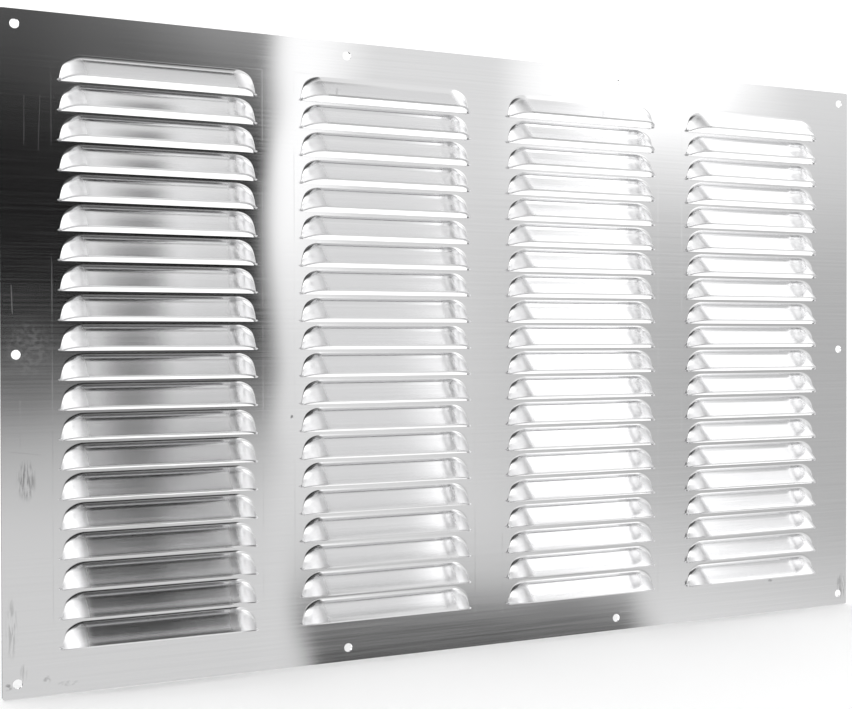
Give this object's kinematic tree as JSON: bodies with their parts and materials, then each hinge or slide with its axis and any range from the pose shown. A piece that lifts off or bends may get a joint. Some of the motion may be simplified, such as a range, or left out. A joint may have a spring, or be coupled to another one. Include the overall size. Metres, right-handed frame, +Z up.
{
  "type": "louvred vent grille",
  "caption": "Flat pressed aluminium vent grille with columns of hooded louvres and screw holes round its rim, to cover an air opening in a wall.",
  "frame": {"origin": "middle of the back face, the one that lies on the wall", "axes": "+X along the long edge, to the right seen from the front; +Z up; +Y into the wall, so the louvres stand out towards -Y and open downwards"},
  "size_m": [0.48, 0.01, 0.3],
  "materials": {
    "mill_aluminium": "bare rolled sheet, semi-bright, with fine grain along the long edge"
  },
  "bodies": {
    "root": {"louvred_sheet": "mill_aluminium"}
  },
  "joints": []
}
